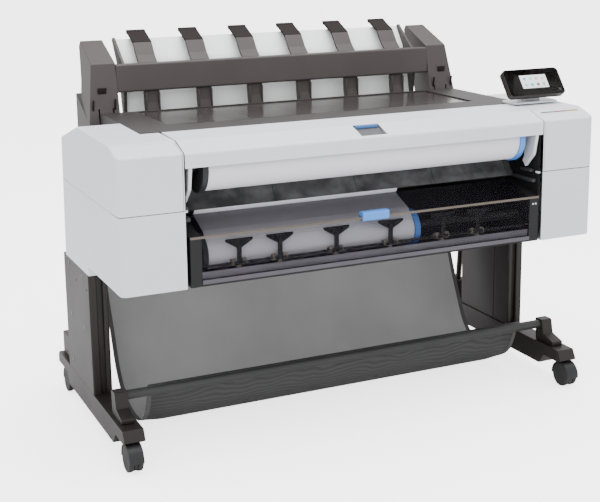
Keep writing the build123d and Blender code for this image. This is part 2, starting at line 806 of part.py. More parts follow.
def build_nodes():
    """Every sub-part by its node name."""
    nodes = {
        "legs": both_sides(leg()),
        "leg_inner_panels": both_sides(leg_inner_panels()),
        "feet": both_sides(foot()),
        "stand_crossbar": stand_crossbar(),
        "bin_rod": bin_rod(), "bin_clamps": group([bin_brackets(), bin_rear_blocks()]),
        "bin_rear_frame": bin_rear_frame(), "bin_fabric": bin_fabric(),
    }
    for row, y in (("front", front_caster_y), ("rear", rear_caster_y)):
        for side, x in (("left", -caster_x), ("right", caster_x)):
            nodes[f"caster_hood_{row}_{side}"] = caster_hood(x, y)
            nodes[f"caster_wheels_{row}_{side}"] = caster_wheels(x, y)
    body = {
        "lower_cover_right": lower_cover(),
        "lower_cover_left": other_side(lower_cover()) - inlet_block(0.3),
        "upper_cover_right": upper_cover(), "upper_cover_left": other_side(upper_cover()),
        "ink_door_right": ink_door(), "ink_door_left": other_side(ink_door()),
        "ink_cartridges": ink_cartridges(), "rear_cover": rear_cover(), "top_cover": top_cover(),
        "top_window": top_window(), "roll_cover": roll_cover(), "roll_cover_pocket": roll_cover_pocket(),
        "roll_cover_ribs": roll_cover_ribs(), "end_walls": both_sides(end_wall()),
        "roll_1_paper": roll_1_paper(), "roll_1_spindle": group([roll_1_spindle(), roll_1_hubs()]),
        "roll_2_paper": roll_2_paper(), "roll_2_spindle": group([roll_2_spindle(), roll_2_hubs()]),
        "paper_deflector": paper_deflector(), "paper_web": paper_web(), "drawer_frame": drawer_frame(),
        "drawer_edge": drawer_edge(), "drawer_window": drawer_window(), "drawer_grip": drawer_grip(),
        "pinch_arms": pinch_arms(), "stacker_arms": both_sides(stacker_arm()),
        "stacker_crossbar": stacker_crossbar(), "upper_fingers": upper_fingers(),
        "lower_fingers": lower_fingers(), "stacker_guide": stacker_guide(), "panel_body": panel_body(),
        "panel_glass": panel_glass(), "power_button": power_button(), "panel_pedestal": panel_pedestal(),
        "chassis_base": chassis_base(), "platen": platen(), "carriage_rail": carriage_rail(),
        "carriage": carriage(), "belt_pulley": belt_pulley(belt_reach()), "carriage_belt": carriage_belt(),
        "feed_roller": group([feed_roller(), feed_gear()]), "service_station": service_station(),
        "electronics_box": electronics_box(), "power_inlet": power_inlet(),
    }
    for name, shape in body.items():
        nodes[name] = lifted(shape)
    return nodes


os.makedirs("parts", exist_ok=True)
for node_name, node_shape in build_nodes().items():
    export_step(node_shape, f"parts/{node_name}.step")
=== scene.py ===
import bpy
import json
import math
from mathutils import Matrix, Vector


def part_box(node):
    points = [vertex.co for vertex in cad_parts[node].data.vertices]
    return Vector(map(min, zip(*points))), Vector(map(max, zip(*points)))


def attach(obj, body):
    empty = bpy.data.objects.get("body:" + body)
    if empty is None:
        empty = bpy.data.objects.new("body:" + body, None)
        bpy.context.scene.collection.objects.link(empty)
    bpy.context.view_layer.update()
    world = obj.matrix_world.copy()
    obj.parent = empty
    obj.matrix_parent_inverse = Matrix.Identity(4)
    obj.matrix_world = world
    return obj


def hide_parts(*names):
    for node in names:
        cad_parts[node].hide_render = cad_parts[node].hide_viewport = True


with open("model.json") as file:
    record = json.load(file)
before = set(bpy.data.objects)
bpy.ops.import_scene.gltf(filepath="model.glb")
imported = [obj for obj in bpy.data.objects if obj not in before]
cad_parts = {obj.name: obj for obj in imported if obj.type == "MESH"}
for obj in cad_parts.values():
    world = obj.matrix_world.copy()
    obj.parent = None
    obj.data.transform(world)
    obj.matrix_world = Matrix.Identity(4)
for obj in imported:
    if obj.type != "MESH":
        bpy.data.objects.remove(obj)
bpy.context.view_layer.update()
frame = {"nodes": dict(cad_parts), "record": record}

# ------------------------------------------------------------------ floor, light and camera
# The machine stands on a pale studio floor that runs up into a pale wall behind it.
# A large soft light hangs overhead, with a weaker one from the front left.
def add(tree, kind, **settings):
    """New node in a tree, with its settings."""
    node = tree.nodes.new(kind)
    for key, value in settings.items():
        setattr(node, key, value)
    return node


def ranged(tree, value, low, high, start=0.0, end=1.0):
    """A value that runs from start to end, brought to run from low to high."""
    node = add(tree, "ShaderNodeMapRange")
    node.inputs["From Min"].default_value = start
    node.inputs["From Max"].default_value = end
    node.inputs["To Min"].default_value = low
    node.inputs["To Max"].default_value = high
    tree.links.new(value, node.inputs["Value"])
    return node.outputs["Result"]


def seen_directly(tree):
    """One where the camera looks straight at a surface or the sky, nought for light that bounces off it."""
    return add(tree, "ShaderNodeLightPath").outputs["Is Camera Ray"]


def new_material(name, colour, roughness):
    """Material with its node tree and its shader."""
    material = bpy.data.materials.new(name)
    material.use_nodes = True
    shader = material.node_tree.nodes["Principled BSDF"]
    shader.inputs["Base Color"].default_value = (*colour, 1)
    shader.inputs["Roughness"].default_value = roughness
    return material, material.node_tree, shader


floor_size = 60
floor_glow = 2.6
bpy.ops.object.select_all(action="DESELECT")
bpy.ops.mesh.primitive_plane_add(size=floor_size, location=(0, 2, 0))
studio_floor = bpy.context.active_object
studio_floor.name = "studio_floor"
floor_material, floor_tree, floor_shader = new_material("studio_floor", (0.9, 0.9, 0.9), 0.9)
floor_shader.inputs["Specular IOR Level"].default_value = 0.1
floor_shader.inputs["Emission Color"].default_value = (1, 1, 1, 1)
floor_strength = ranged(floor_tree, seen_directly(floor_tree), 0.0, floor_glow)
floor_tree.links.new(floor_strength, floor_shader.inputs["Emission Strength"])
studio_floor.data.materials.append(floor_material)

wall_light = 1.75
wall_glow = 4.3
world = bpy.data.worlds.new("studio")
bpy.context.scene.world = world
world.use_nodes = True
backdrop = world.node_tree.nodes["Background"]
backdrop.inputs["Color"].default_value = (1, 1, 1, 1)
backdrop_strength = ranged(world.node_tree, seen_directly(world.node_tree), wall_light, wall_glow)
world.node_tree.links.new(backdrop_strength, backdrop.inputs["Strength"])


def soft_light(name, location, size, power):
    """Rectangular soft light aimed at the middle of the machine."""
    data = bpy.data.lights.new(name, "AREA")
    data.shape = "RECTANGLE"
    data.size, data.size_y = size
    data.energy = power
    lamp = bpy.data.objects.new(name, data)
    bpy.context.scene.collection.objects.link(lamp)
    lamp.location = location
    aim = Vector((0, 0, 0.6)) - Vector(location)
    lamp.rotation_euler = aim.to_track_quat("-Z", "Y").to_euler()


soft_light("overhead", (0.2, -0.3, 3.6), (3.2, 2.4), 150)
soft_light("front_left", (-2.6, -3.2, 2.2), (2.0, 1.6), 40)

camera_azimuth = math.radians(-24.48)
camera_elevation = math.radians(12.2)
camera_roll = math.radians(-0.69)
camera_distance = 3.457
camera_target = Vector((-0.045, 0.0, 0.602))
camera_data = bpy.data.cameras.new("camera")
camera_data.sensor_width = 36
camera_data.lens = 71.7
camera_data.shift_y = -0.10
camera = bpy.data.objects.new("camera", camera_data)
bpy.context.scene.collection.objects.link(camera)
bpy.context.scene.camera = camera
flat = math.cos(camera_elevation)
away = Vector((math.sin(camera_azimuth) * flat, -math.cos(camera_azimuth) * flat,
               math.sin(camera_elevation)))
camera.location = camera_target + away * camera_distance
level_side = (-away).cross(Vector((0, 0, 1))).normalized()
level_top = level_side.cross(-away)
camera_side = level_side * math.cos(camera_roll) + level_top * math.sin(camera_roll)
camera_top = level_top * math.cos(camera_roll) - level_side * math.sin(camera_roll)
camera.rotation_mode = "QUATERNION"
camera.rotation_quaternion = Matrix((camera_side, camera_top, away)).transposed().to_quaternion()

# ------------------------------------------------------------------ white end covers and ink doors
# Injection-moulded covers in light grey-white, satin, with a very fine spark texture.
# Each is screwed to the chassis from behind. The ink doors turn about their lower front edge.
behaviour = frame["record"]["behaviour"]
body_of_node = {node: body for body, nodes in behaviour["bodies"].items() for node in nodes}
slot_of_node = {row["node"]: row["material_slot"] for row in frame["record"]["subparts"]}


def pick(*pieces):
    """Selects these pieces and no others, with the last one active."""
    bpy.ops.object.select_all(action="DESELECT")
    for piece in pieces:
        piece.select_set(True)
    bpy.context.view_layer.objects.active = pieces[-1]


def place_on(tree):
    """Place on the piece, in metres."""
    return add(tree, "ShaderNodeTexCoord").outputs["Object"]


def surface_group():
    """Colour that drifts slowly between two tones, roughness that drifts with it, and a fine grain height."""
    group = bpy.data.node_groups.new("moulded_surface", "ShaderNodeTree")
    for name in ("Tone A", "Tone B"):
        group.interface.new_socket(name, in_out="INPUT", socket_type="NodeSocketColor")
    for name in ("Drift Scale", "Grain Scale", "Rough Low", "Rough High"):
        group.interface.new_socket(name, in_out="INPUT", socket_type="NodeSocketFloat")
    group.interface.new_socket("Colour", in_out="OUTPUT", socket_type="NodeSocketColor")
    for name in ("Roughness", "Grain"):
        group.interface.new_socket(name, in_out="OUTPUT", socket_type="NodeSocketFloat")
    inside = add(group, "NodeGroupInput")
    outside = add(group, "NodeGroupOutput")
    drift = add(group, "ShaderNodeTexNoise")
    drift.inputs["Detail"].default_value = 4
    grain = add(group, "ShaderNodeTexNoise")
    grain.inputs["Detail"].default_value = 2
    speck = add(group, "ShaderNodeTexNoise")
    speck.inputs["Scale"].default_value = 420
    place = place_on(group)
    blend = add(group, "ShaderNodeMix", data_type="RGBA")
    dusty = add(group, "ShaderNodeMix", data_type="RGBA", blend_type="MULTIPLY")
    dusty.inputs["Factor"].default_value = 0.10
    rough = add(group, "ShaderNodeMapRange")
    link = group.links.new
    for texture in (drift, grain, speck):
        link(place, texture.inputs["Vector"])
    link(inside.outputs["Drift Scale"], drift.inputs["Scale"])
    link(inside.outputs["Grain Scale"], grain.inputs["Scale"])
    link(ranged(group, drift.outputs["Fac"], 0.0, 1.0, 0.35, 0.65), blend.inputs["Factor"])
    link(inside.outputs["Tone A"], blend.inputs["A"])
    link(inside.outputs["Tone B"], blend.inputs["B"])
    link(blend.outputs["Result"], dusty.inputs["A"])
    link(speck.outputs["Color"], dusty.inputs["B"])
    link(dusty.outputs["Result"], outside.inputs["Colour"])
    link(drift.outputs["Fac"], rough.inputs["Value"])
    link(inside.outputs["Rough Low"], rough.inputs["To Min"])
    link(inside.outputs["Rough High"], rough.inputs["To Max"])
    link(rough.outputs["Result"], outside.inputs["Roughness"])
    link(grain.outputs["Fac"], outside.inputs["Grain"])
    return group


moulded_surface = surface_group()


def moulded(name, tone_a, tone_b, rough=(0.35, 0.5), drift=3.0, grain=900.0, depth=0.06, metallic=0.0,
            gloss=None):
    """Finish made with the moulded surface group. Dark plastics reflect less than light ones."""
    material, tree, shader = new_material(name, tone_a, rough[0])
    if gloss is None:
        gloss = 0.5 if max(tone_a) > 0.1 else 0.28
    shader.inputs["Specular IOR Level"].default_value = gloss
    shader.inputs["Metallic"].default_value = metallic
    surface = add(tree, "ShaderNodeGroup", node_tree=moulded_surface)
    surface.inputs["Tone A"].default_value = (*tone_a, 1)
    surface.inputs["Tone B"].default_value = (*tone_b, 1)
    surface.inputs["Drift Scale"].default_value = drift
    surface.inputs["Grain Scale"].default_value = grain
    surface.inputs["Rough Low"].default_value = rough[0]
    surface.inputs["Rough High"].default_value = rough[1]
    bump = add(tree, "ShaderNodeBump")
    bump.inputs["Strength"].default_value = depth
    bump.inputs["Distance"].default_value = 0.0004
    tree.links.new(surface.outputs["Colour"], shader.inputs["Base Color"])
    tree.links.new(surface.outputs["Roughness"], shader.inputs["Roughness"])
    tree.links.new(surface.outputs["Grain"], bump.inputs["Height"])
    tree.links.new(bump.outputs["Normal"], shader.inputs["Normal"])
    return material


def even_normals(piece):
    """Lets the large faces set the shading, so that the rounded edges stay narrow."""
    weighted = piece.modifiers.new("weighted", "WEIGHTED_NORMAL")
    weighted.weight = 100
    weighted.keep_sharp = True
    bpy.ops.object.modifier_apply(modifier="weighted")


def softened(node, material, width, segments=2):
    """Piece that stands for a CAD node, with its edges rounded as the moulding or pressing has them."""
    pick(frame["nodes"][node])
    bpy.ops.object.duplicate()
    piece = bpy.context.active_object
    piece.name = node + "_finished"
    bpy.ops.object.mode_set(mode="EDIT")
    bpy.ops.mesh.select_all(action="SELECT")
    bpy.ops.mesh.remove_doubles(threshold=0.00002)
    bpy.ops.mesh.dissolve_limited(angle_limit=math.radians(0.6))
    bpy.ops.object.mode_set(mode="OBJECT")
    rounding = piece.modifiers.new("rounding", "BEVEL")
    rounding.width = width
    rounding.segments = segments
    rounding.limit_method = "ANGLE"
    rounding.angle_limit = math.radians(28)
    rounding.use_clamp_overlap = False
    bpy.ops.object.modifier_apply(modifier="rounding")
    bpy.ops.object.shade_smooth_by_angle(angle=math.radians(40))
    even_normals(piece)
    piece.data.materials.clear()
    piece.data.materials.append(material)
    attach(piece, body_of_node[node])
    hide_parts(node)
    return piece


cover_white = moulded("cover_white", (0.64, 0.655, 0.695), (0.615, 0.63, 0.67), rough=(0.32, 0.42),
                      drift=1.6, depth=0.05)
for side in ("left", "right"):
    for node in ("lower_cover_", "upper_cover_", "ink_door_"):
        softened(node + side, cover_white, 0.0012)

# ------------------------------------------------------------------ roll cover
# White moulding that hinges up over the upper roll. Two ribs under its ends stiffen it.
# A pocket in its shoulder takes the fingers: dark grey tray with a blue strip along its rear.
def finish_node(node, material):
    """Gives a CAD node its finish as it stands."""
    part = frame["nodes"][node]
    part.data.materials.clear()
    part.data.materials.append(material)


def rounded(piece, width):
    """Small radius on every sharp edge of a piece."""
    edge = piece.modifiers.new("edge", "BEVEL")
    edge.width = width
    edge.segments = 2
    edge.limit_method = "ANGLE"
    edge.angle_limit = math.radians(30)
    bpy.ops.object.modifier_apply(modifier="edge")


def settle(piece, name, material, body):
    """Names a piece, gives it its finish and fixes it to the body that carries it."""
    piece.name = name
    bpy.ops.object.shade_smooth_by_angle(angle=math.radians(40))
    piece.data.materials.clear()
    piece.data.materials.append(material)
    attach(piece, body)
    return piece


def block(name, low, high, material, body, width=0.0008):
    """Rectangular piece between two corners, with rounded edges."""
    bpy.ops.object.select_all(action="DESELECT")
    low, high = Vector(low), Vector(high)
    bpy.ops.mesh.primitive_cube_add(size=1, location=(low + high) / 2)
    piece = bpy.context.active_object
    piece.scale = high - low
    bpy.ops.object.transform_apply(location=True, rotation=True, scale=True)
    rounded(piece, width)
    return settle(piece, name, material, body)


finish_node("roll_cover", cover_white)
softened("roll_cover_ribs", cover_white, 0.0025, segments=3)
pocket_grey = moulded("pocket_grey", (0.075, 0.077, 0.083), (0.062, 0.064, 0.070), rough=(0.4, 0.55))
finish_node("roll_cover_pocket", pocket_grey)
strip_blue = moulded("strip_blue", (0.06, 0.17, 0.46), (0.05, 0.145, 0.40), rough=(0.3, 0.4))
pocket_low, pocket_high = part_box("roll_cover_pocket")
block("pocket_strip", (pocket_low[0] + 0.004, pocket_high[1] - 0.010, pocket_high[2] - 0.0080),
      (pocket_high[0] - 0.004, pocket_high[1] - 0.003, pocket_high[2] - 0.0003), strip_blue,
      "roll_cover_body")

# ------------------------------------------------------------------ ink marks and latch tabs
# Three short stripes are printed along the shoulder of the right cover, in the colours of the inks.
# A white latch tab shows in the gap beside the seam of the covers at each end of the bay.
def surface_at(node, x, y):
    """Place on the upper side of a finished piece above a point of the floor."""
    bpy.context.view_layer.update()
    return bpy.data.objects[node + "_finished"].ray_cast(Vector((x, y, 2)), Vector((0, 0, -1)))[1]


def tilted(piece, angle, pivot, shift=(0, 0, 0)):
    """Turns the mesh of a piece about a line along X, then moves it."""
    pick(piece)
    bpy.ops.object.mode_set(mode="EDIT")
    bpy.ops.mesh.select_all(action="SELECT")
    bpy.ops.transform.rotate(value=angle, orient_axis="X", center_override=pivot)
    bpy.ops.transform.translate(value=shift)
    bpy.ops.object.mode_set(mode="OBJECT")
    return piece


stripe_length = 0.0415
stripe_half_width = 0.0050
stripe_half_height = 0.0004
stripe_front, stripe_rear = (surface_at("ink_door_right", 0.61, y) for y in (-0.341, -0.329))
stripe_slope = math.atan2(stripe_rear.z - stripe_front.z, stripe_rear.y - stripe_front.y)
stripe_middle = (stripe_front + stripe_rear) / 2
inks = (("cyan", (0.05, 0.38, 0.62)), ("magenta", (0.66, 0.05, 0.30)), ("yellow", (0.76, 0.68, 0.03)))
for index, (name, colour) in enumerate(inks):
    stripe = moulded("ink_" + name, colour, [0.9 * part for part in colour], rough=(0.4, 0.5), depth=0.02)
    stripe_x = 0.545 + 0.0425 * index
    mark = block("ink_stripe_" + name, (stripe_x, -stripe_half_width, -stripe_half_height),
                 (stripe_x + stripe_length, stripe_half_width, stripe_half_height), stripe,
                 "door_right", width=0.0001)
    tilted(mark, stripe_slope, (0, 0, 0), (0, stripe_middle.y, stripe_middle.z))
for side, inner_x in (("right", 0.5165), ("left", -0.5245)):
    block("latch_tab_" + side, (inner_x, -0.374, 0.667), (inner_x + 0.008, -0.360, 0.672), cover_white,
          "frame")

# ------------------------------------------------------------------ dark top cover and window
# Warm dark grey-brown moulding with a fine spark texture, and a smoked lid let into it.
# A plain dark cover of the same plastic closes the rear of the body.
def noise(tree, coordinates, scale, detail=3.0):
    """Soft noise over some coordinates."""
    node = add(tree, "ShaderNodeTexNoise")
    node.inputs["Scale"].default_value = scale
    node.inputs["Detail"].default_value = detail
    tree.links.new(coordinates, node.inputs["Vector"])
    return node.outputs["Fac"]


cover_dark = moulded("cover_dark", (0.022, 0.0180, 0.0176), (0.018, 0.0150, 0.0146), rough=(0.42, 0.56),
                     drift=2.2, depth=0.12)
softened("top_cover", cover_dark, 0.001)
window_smoke, window_tree, window_shader = new_material("window_smoke", (0.028, 0.024, 0.023), 0.22)
window_shader.inputs["Coat Weight"].default_value = 0.3
window_wear = ranged(window_tree, noise(window_tree, place_on(window_tree), 5.0), 0.18, 0.34)
window_tree.links.new(window_wear, window_shader.inputs["Roughness"])
softened("top_window", window_smoke, 0.0008)
rear_dark = moulded("rear_dark", (0.036, 0.030, 0.029), (0.030, 0.025, 0.024), rough=(0.45, 0.6), drift=2.0)
finish_node("rear_cover", rear_dark)

# ------------------------------------------------------------------ stacker
# Two hollow dark castings, screwed to the rear of the body, carry a crossbar.
# Six fingers rise from the bar over a curved white guide, and six hang below it, each with two edge ribs.
def joined(name, pieces):
    """Like pieces that are moulded in one, as one mesh."""
    pick(*pieces)
    bpy.ops.object.join()
    bpy.context.active_object.name = name


stacker_dark = moulded("stacker_dark", (0.048, 0.0395, 0.0390), (0.040, 0.033, 0.0325), rough=(0.42, 0.55),
                       drift=2.6, depth=0.12)
finger_dark = moulded("finger_dark", (0.017, 0.0125, 0.0130), (0.014, 0.0105, 0.011), rough=(0.6, 0.7),
                      drift=3.0, depth=0.12, gloss=0.08)
for node in ("stacker_arms", "stacker_crossbar"):
    softened(node, stacker_dark, 0.0015, segments=3)


def darker_in_part(node, second, chooses):
    """Piece in the stacker finish, with a second, darker finish on the faces where chooses(face centre) says
    so.
    """
    piece = softened(node, stacker_dark, 0.0015, segments=3)
    piece.data.materials.append(second)
    for face in piece.data.polygons:
        if chooses(face.center):
            face.material_index = 1


finger_bend_y = 0.314
finger_foot_z = 0.8255
# Painted shade: the rear part of each upper finger takes the darker finish, for the shade that falls on it.
darker_in_part("upper_fingers", finger_dark, lambda place: place.y > finger_bend_y)
# The foot of each lower finger takes the darker finish.
darker_in_part("lower_fingers", finger_dark, lambda place: place.z < finger_foot_z)
finger_pitch = 0.1616
finger_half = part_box("lower_fingers")[1][0] - 2.5 * finger_pitch - 0.002
rib_half = 0.0022
edge_ribs = []
for index in range(6):
    for sign in (-1, 1):
        rib_x = finger_pitch * (index - 2.5) + sign * (finger_half - 0.0035)
        edge_ribs.append(block("finger_rib", (rib_x - rib_half, 0.2285, 0.834),
                               (rib_x + rib_half, 0.2380, 0.886), stacker_dark, "frame"))
joined("lower_finger_ribs", edge_ribs)

arm_middle = 0.557
arm_face_y, arm_face_z = 0.2126, 0.860
arm_lean = math.atan(0.213)


def on_arm(name, middle, half_width, z0, z1, proud, material):
    """Small block set into the leaning front face of an arm, standing a little proud of it."""
    low_y = arm_face_y + (z0 - arm_face_z) * math.tan(arm_lean)
    piece = block(name, (middle - half_width, low_y - proud, z0), (middle + half_width, low_y + 0.004, z1),
                  material, "frame", width=0.0004)
    tilted(piece, -arm_lean, (0, low_y, z0))


for side, sign in (("left", -1), ("right", 1)):
    middle = sign * arm_middle
    on_arm("stacker_latch_" + side, middle, 0.011, 0.8935, 0.9075, 0.0005, stacker_dark)
    # Painted shade: the dark block behind each latch shows as a rim for the shadow in the gap around it, and
    # the dark strips stand for the shade inside the slots.
    on_arm("stacker_latch_gap_" + side, middle, 0.0125, 0.892, 0.909, 0.0002, finger_dark)
    for label, offset in (("inner", -0.034), ("outer", 0.030)):
        slot_x = sign * (arm_middle + offset)
        on_arm(f"stacker_slot_{side}_{label}", slot_x, 0.0025, 0.846, 0.878, 0.0003, finger_dark)
guide_white = moulded("guide_white", (0.86, 0.88, 0.88), (0.82, 0.84, 0.84), rough=(0.4, 0.5), drift=2.0)
finish_node("stacker_guide", guide_white)

# ------------------------------------------------------------------ stand
# Legs and feet are bent and welded steel in a dark brown powder coat with a slight orange peel.
# The bin's rear tube is bent from the same steel. Four clamps hold it and the grey front bar to the feet.
stand_brown = moulded("stand_brown", (0.0150, 0.0105, 0.0102), (0.0125, 0.0088, 0.0086), rough=(0.38, 0.52),
                      drift=3.0, grain=520.0, depth=0.18)
for node in ("legs", "leg_inner_panels", "feet", "stand_crossbar", "bin_rear_frame"):
    softened(node, stand_brown, 0.0008)
softened("bin_clamps", stand_brown, 0.0015)
rod_grey = moulded("rod_grey", (0.030, 0.031, 0.030), (0.025, 0.026, 0.025), rough=(0.35, 0.5), drift=6.0)
finish_node("bin_rod", rod_grey)

# ------------------------------------------------------------------ casters
# Black nylon hoods swivel on steel stems pressed into the feet.
# The twin wheels have a soft black tread and a dished hub face, and turn on one axle.
def facing(piece, direction):
    """Selects, in edit mode, the faces of a piece that face one way."""
    bpy.ops.object.mode_set(mode="EDIT")
    bpy.ops.mesh.select_mode(type="FACE")
    bpy.ops.mesh.select_all(action="DESELECT")
    bpy.ops.object.mode_set(mode="OBJECT")
    for face in piece.data.polygons:
        face.select = face.normal.dot(Vector(direction)) > 0.99
    bpy.ops.object.mode_set(mode="EDIT")


AXES = {"X": (1, 0, 0), "Y": (0, 1, 0), "Z": (0, 0, 1)}


def turned(name, centre, radius, length, material, body, slot, axis="X", rim=0.001, dish=0.0, vertices=48):
    """Round piece along an axis, with rounded rims and, if asked, a dished end each way."""
    bpy.ops.object.select_all(action="DESELECT")
    turn = Vector((0, 0, 1)).rotation_difference(Vector(AXES[axis])).to_euler()
    bpy.ops.mesh.primitive_cylinder_add(vertices=vertices, radius=radius, depth=length, location=centre,
                                        rotation=turn)
    piece = bpy.context.active_object
    bpy.ops.object.transform_apply(location=True, rotation=True, scale=True)
    for sign in (1, -1) if dish else ():
        facing(piece, Vector(AXES[axis]) * sign)
        bpy.ops.mesh.inset(thickness=radius * 0.28, depth=0)
        bpy.ops.mesh.inset(thickness=radius * 0.06, depth=-dish)
        bpy.ops.mesh.inset(thickness=radius * 0.25, depth=0)
        bpy.ops.mesh.inset(thickness=radius * 0.05, depth=dish * 0.8)
        bpy.ops.object.mode_set(mode="OBJECT")
    rounded(piece, rim)
    return settle(piece, name, material, body)


def middle_of(node):
    """Middle of a node, as (y, z)."""
    low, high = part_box(node)
    return (low[1] + high[1]) / 2, (low[2] + high[2]) / 2


hub_radius = 0.0215
hub_thickness = 0.0050
hub_inset = 0.0040
caster_black = moulded("caster_black", (0.016, 0.016, 0.017), (0.012, 0.012, 0.013), rough=(0.38, 0.5),
                       drift=9.0)
tread_black = moulded("tread_black", (0.022, 0.022, 0.023), (0.016, 0.016, 0.017), rough=(0.55, 0.75),
                      drift=14.0, grain=600.0, depth=0.25)
for row in ("front", "rear"):
    for side in ("left", "right"):
        softened(f"caster_hood_{row}_{side}", caster_black, 0.0006)
        wheels = f"caster_wheels_{row}_{side}"
        finish_node(wheels, tread_black)
        wheel_low, wheel_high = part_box(wheels)
        for face_x, label in ((wheel_low[0] + hub_inset, "a"), (wheel_high[0] - hub_inset, "b")):
            turned(f"caster_hub_{row}_{side}_{label}", (face_x, *middle_of(wheels)), hub_radius,
                   hub_thickness, caster_black, f"wheels_{row}_{side}", slot_of_node[wheels], rim=0.0006,
                   dish=0.0014)

# ------------------------------------------------------------------ rolls
# Plain paper wound on a core, which slides onto a black moulded spindle between two hubs.
# The right hubs are blue, the left ones black.
paper_tones = ((0.76, 0.75, 0.82), (0.73, 0.725, 0.795))
paper_white = moulded("paper_white", *paper_tones, rough=(0.6, 0.72), drift=1.2, grain=1400.0, depth=0.03)
finish_node("paper_web", paper_white)


def marked(material, mask, share):
    """Multiplies the colour of a finish by a mask that varies over the surface."""
    tree = material.node_tree
    shader = tree.nodes["Principled BSDF"]
    shade = add(tree, "ShaderNodeMix", data_type="RGBA", blend_type="MULTIPLY")
    shade.inputs["Factor"].default_value = share
    tree.links.new(shader.inputs["Base Color"].links[0].from_socket, shade.inputs["A"])
    tree.links.new(mask, shade.inputs["B"])
    tree.links.new(shade.outputs["Result"], shader.inputs["Base Color"])


def wound_paper(name, axis_y, axis_z):
    """Paper whose ends show the edges of the windings as fine rings."""
    material = moulded(name, *paper_tones, rough=(0.6, 0.72), drift=1.2, grain=1400.0, depth=0.03)
    tree = material.node_tree
    centred = add(tree, "ShaderNodeMapping")
    centred.inputs["Location"].default_value = (0, -axis_y, -axis_z)
    centred.inputs["Scale"].default_value = (0, 1, 1)
    distance = add(tree, "ShaderNodeVectorMath", operation="LENGTH")
    turns = add(tree, "ShaderNodeMath", operation="MULTIPLY")
    turns.inputs[1].default_value = 2600
    wave = add(tree, "ShaderNodeMath", operation="SINE")
    tree.links.new(place_on(tree), centred.inputs["Vector"])
    tree.links.new(centred.outputs["Vector"], distance.inputs[0])
    tree.links.new(distance.outputs["Value"], turns.inputs[0])
    tree.links.new(turns.outputs["Value"], wave.inputs[0])
    marked(material, ranged(tree, wave.outputs["Value"], 0.78, 1.0, start=-1.0), 0.5)
    return material


hub_black = moulded("hub_black", (0.02, 0.02, 0.021), (0.016, 0.016, 0.017), rough=(0.35, 0.5))
hub_blue = moulded("hub_blue", (0.075, 0.24, 0.68), (0.065, 0.215, 0.63), rough=(0.28, 0.38), drift=8.0)
for number, right_x, radius in ((1, 0.4655, 0.0662), (2, 0.1365, 0.0502)):
    roll_y, roll_z = middle_of(f"roll_{number}_paper")
    finish_node(f"roll_{number}_paper", wound_paper(f"wound_paper_{number}", roll_y, roll_z))
    finish_node(f"roll_{number}_spindle", hub_black)
    turned(f"roll_{number}_hub_rim", (right_x, roll_y, roll_z), radius, 0.0165, hub_blue, f"roll_{number}",
           slot_of_node[f"roll_{number}_spindle"], rim=0.0016, dish=0.004, vertices=96)

# ------------------------------------------------------------------ bay walls and deflector
# Black moulded end walls, screwed to the chassis, close the bay at each side.
# A mottled dark panel, clipped together from lengths of sheet, turns the paper behind the upper roll.
wall_black = moulded("wall_black", (0.009, 0.009, 0.010), (0.0065, 0.0065, 0.007), rough=(0.5, 0.65))
finish_node("end_walls", wall_black)
deflector_grey = moulded("deflector_grey", (0.13, 0.13, 0.135), (0.035, 0.035, 0.037), rough=(0.45, 0.65),
                         drift=19.0, depth=0.08)
panel_length = 0.243
first_seam_x = -0.229
deflector_tree = deflector_grey.node_tree
deflector_split = add(deflector_tree, "ShaderNodeSeparateXYZ")
from_seam = add(deflector_tree, "ShaderNodeMath", operation="SUBTRACT")
from_seam.inputs[1].default_value = first_seam_x
in_panels = add(deflector_tree, "ShaderNodeMath", operation="DIVIDE")
in_panels.inputs[1].default_value = panel_length
panel_share = add(deflector_tree, "ShaderNodeMath", operation="FRACT")
deflector_tree.links.new(place_on(deflector_tree), deflector_split.inputs["Vector"])
deflector_tree.links.new(deflector_split.outputs["X"], from_seam.inputs[0])
deflector_tree.links.new(from_seam.outputs["Value"], in_panels.inputs[0])
deflector_tree.links.new(in_panels.outputs["Value"], panel_share.inputs[0])
seam_shade = ranged(deflector_tree, panel_share.outputs["Value"], 0.25, 1.0, 0.006, 0.012)
marked(deflector_grey, seam_shade, 1.0)
finish_node("paper_deflector", deflector_grey)

# ------------------------------------------------------------------ drawer of the lower roll
# Black moulded drawer with a smoked pane over the roll, which looks thinner where it stands upright.
# A tan strip edges the pane and a blue grip is clipped over the strip. A purple-grey band on the curved foot
# of the pane is painted reflection.
# Short dark rails on the end walls guide it.
finish_node("drawer_frame", wall_black)
upright_top_z, slope_foot_z = 0.598, 0.606
drawer_smoke, smoke_tree, smoke_shader = new_material("drawer_smoke", (0.009, 0.008, 0.012), 0.10)
smoke_shader.inputs["Specular IOR Level"].default_value = 0.05
smoke_split = add(smoke_tree, "ShaderNodeSeparateXYZ")
smoke_tree.links.new(place_on(smoke_tree), smoke_split.inputs["Vector"])
smoke_cover = ranged(smoke_tree, smoke_split.outputs["Z"], 0.27, 0.42, upright_top_z, slope_foot_z)
smoke_tree.links.new(smoke_cover, smoke_shader.inputs["Alpha"])
smoke_wear = ranged(smoke_tree, noise(smoke_tree, place_on(smoke_tree), 6.0), 0.25, 0.38)
smoke_tree.links.new(smoke_wear, smoke_shader.inputs["Roughness"])
finish_node("drawer_window", drawer_smoke)
edge_tan = moulded("edge_tan", (0.105, 0.084, 0.066), (0.085, 0.068, 0.054), rough=(0.4, 0.55))
finish_node("drawer_edge", edge_tan)
grip_blue = moulded("grip_blue", (0.065, 0.24, 0.70), (0.055, 0.21, 0.64), rough=(0.25, 0.35))
softened("drawer_grip", grip_blue, 0.0012)

